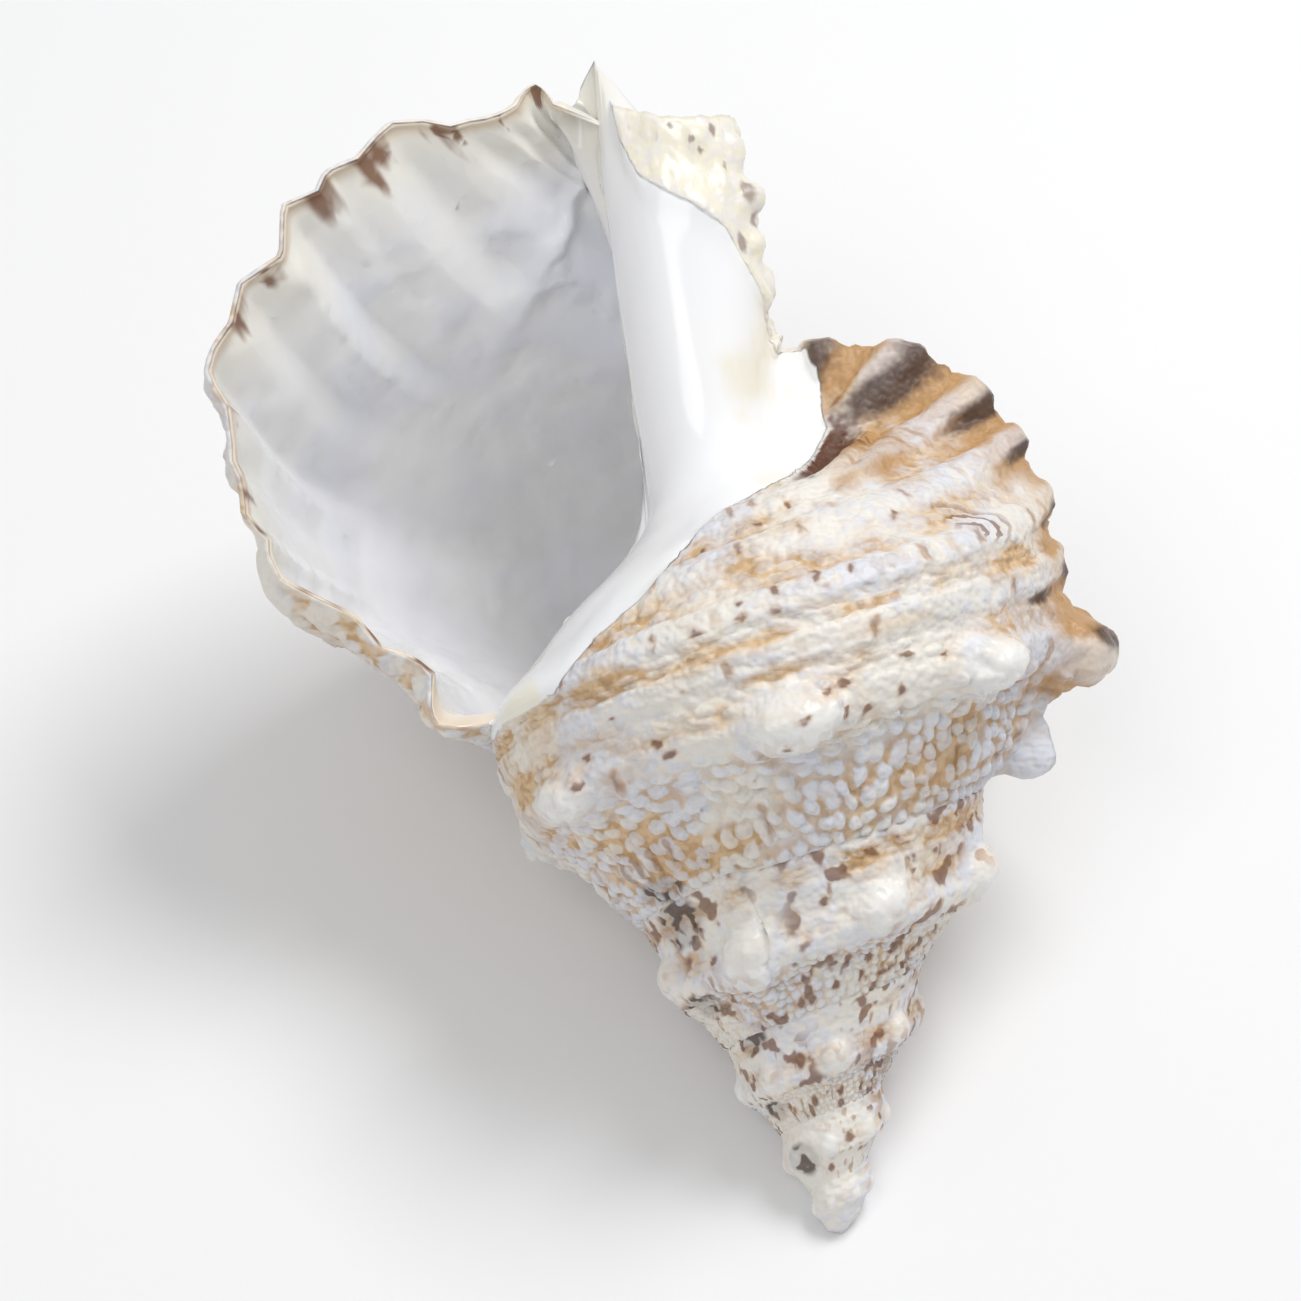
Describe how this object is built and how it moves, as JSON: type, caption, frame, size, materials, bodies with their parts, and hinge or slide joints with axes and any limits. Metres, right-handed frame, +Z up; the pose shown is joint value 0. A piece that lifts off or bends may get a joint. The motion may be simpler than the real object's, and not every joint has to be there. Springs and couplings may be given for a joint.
{
  "type": "frog shell",
  "caption": "Large frog shell: a right-handed knobbed spiral with a tall spire, a short canal, a scalloped flared lip and a wide mouth, lying mouth up.",
  "frame": {"origin": "centre of the shell's footprint box, on the surface it rests on", "axes": "+Z up, out of the mouth; the spire points to -Y, the canal to +Y and the flared lip to -X"},
  "size_m": [0.1508, 0.1686, 0.1094],
  "materials": {
    "shell": "satin"
  },
  "bodies": {
    "root": {"shell": "shell"}
  },
  "joints": []
}
